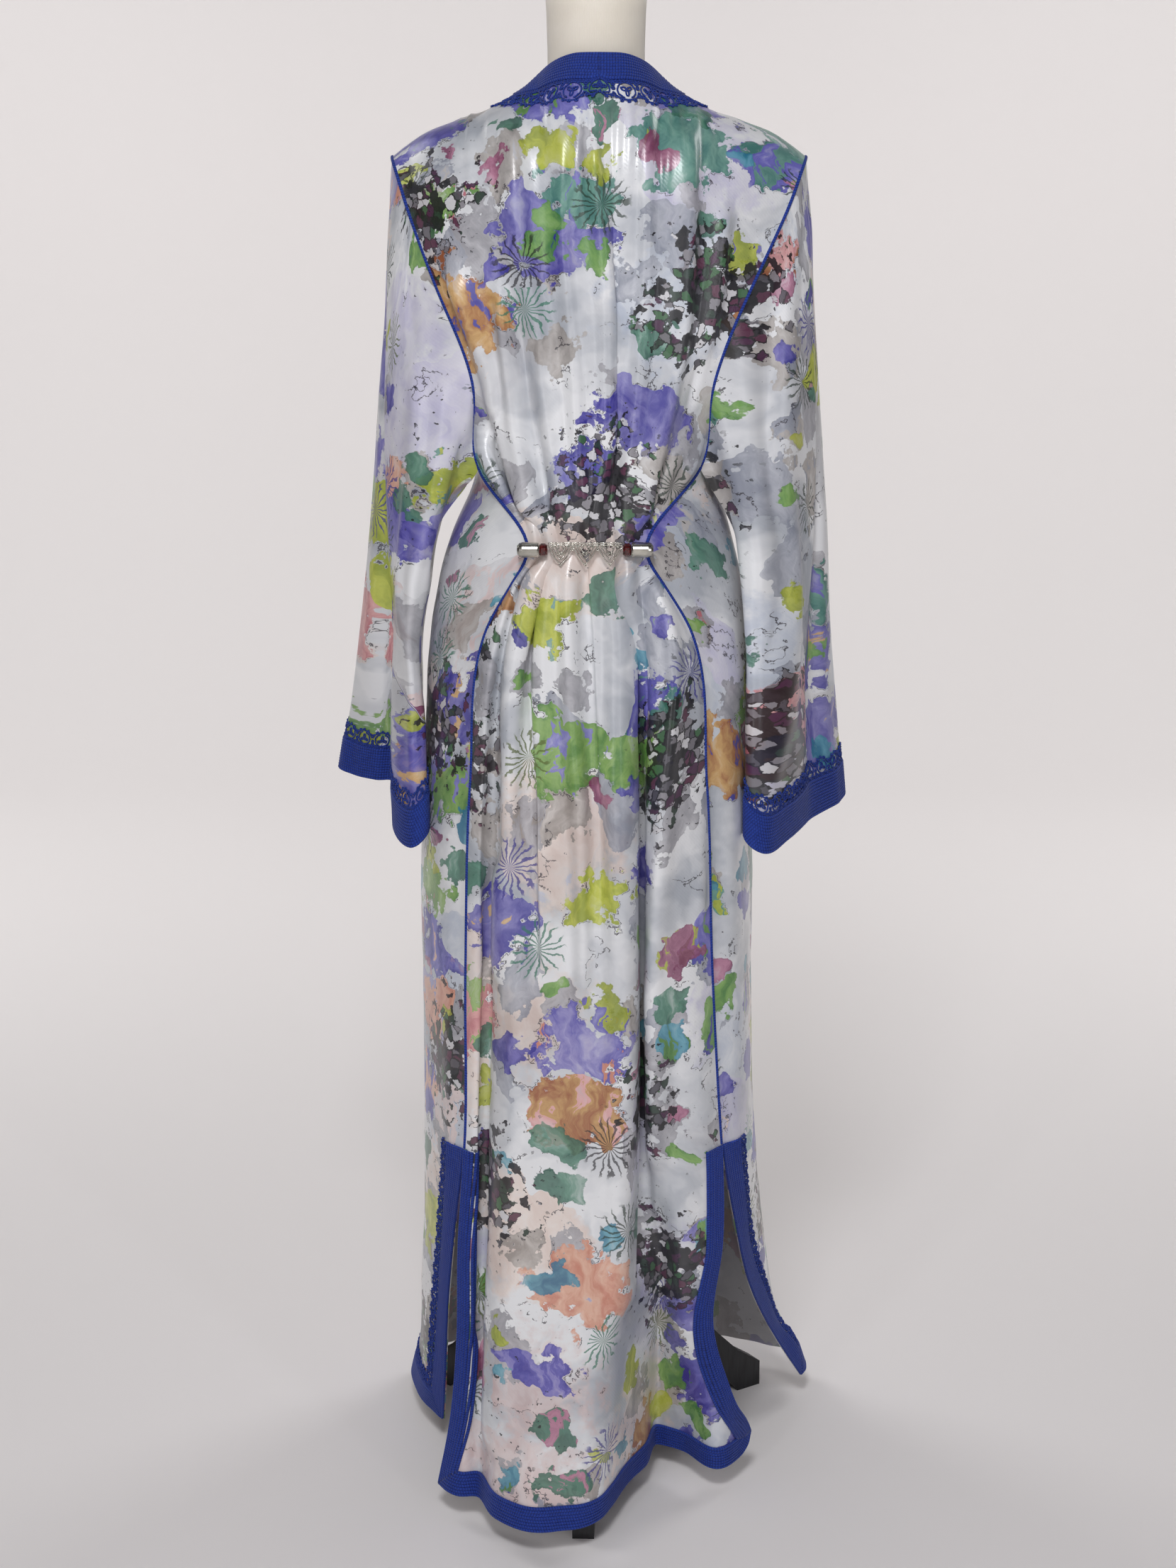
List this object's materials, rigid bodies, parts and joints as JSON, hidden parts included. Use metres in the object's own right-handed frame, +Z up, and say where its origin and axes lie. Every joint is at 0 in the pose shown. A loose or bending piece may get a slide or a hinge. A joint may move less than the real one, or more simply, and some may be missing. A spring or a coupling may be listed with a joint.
{
  "type": "moroccan kaftan on a dress form",
  "caption": "Long V-neck kaftan of printed satin with corded braid and lace, wide sleeves, side slits and a back waist clip, on a limbless dress form with a tripod stand.",
  "frame": {"origin": "on the floor, under the middle of the whole object's box", "axes": "+Z up; the kaftan's back and waist clip face -Y, its front faces +Y, and the wearer's left is -X"},
  "size_m": [0.5567, 0.4638, 1.5943],
  "materials": {
    "printed_satin": "smooth satin with a watercolour print",
    "blue_braid": "corded braid and lace, matt",
    "form_fabric": "plain cream jersey",
    "black_wood": "black satin paint",
    "silver": "polished silver",
    "red_stone": "dark red, glossy"
  },
  "bodies": {
    "root": {"armhole_piping_left": "blue_braid", "armhole_piping_right": "blue_braid", "back_edge_braid": "blue_braid", "back_panel": "printed_satin", "clip_bar": "silver", "clip_clamp_left": "silver", "clip_clamp_right": "silver", "clip_collar_left": "red_stone", "clip_collar_right": "red_stone", "cuff_braid_left": "blue_braid", "cuff_braid_right": "blue_braid", "cuff_lace_left": "blue_braid", "cuff_lace_right": "blue_braid", "form_base": "black_wood", "form_neck_cap": "black_wood", "form_torso": "form_fabric", "front_edge_braid": "blue_braid", "front_edge_lace": "blue_braid", "front_panel": "printed_satin", "neck_braid": "blue_braid", "neck_lace": "blue_braid", "side_piping_left": "blue_braid", "side_piping_right": "blue_braid", "sleeve_left": "printed_satin", "sleeve_right": "printed_satin", "stand_hub": "black_wood", "stand_leg_left": "black_wood", "stand_leg_near": "black_wood", "stand_leg_right": "black_wood", "stand_pole": "black_wood"}
  },
  "joints": []
}
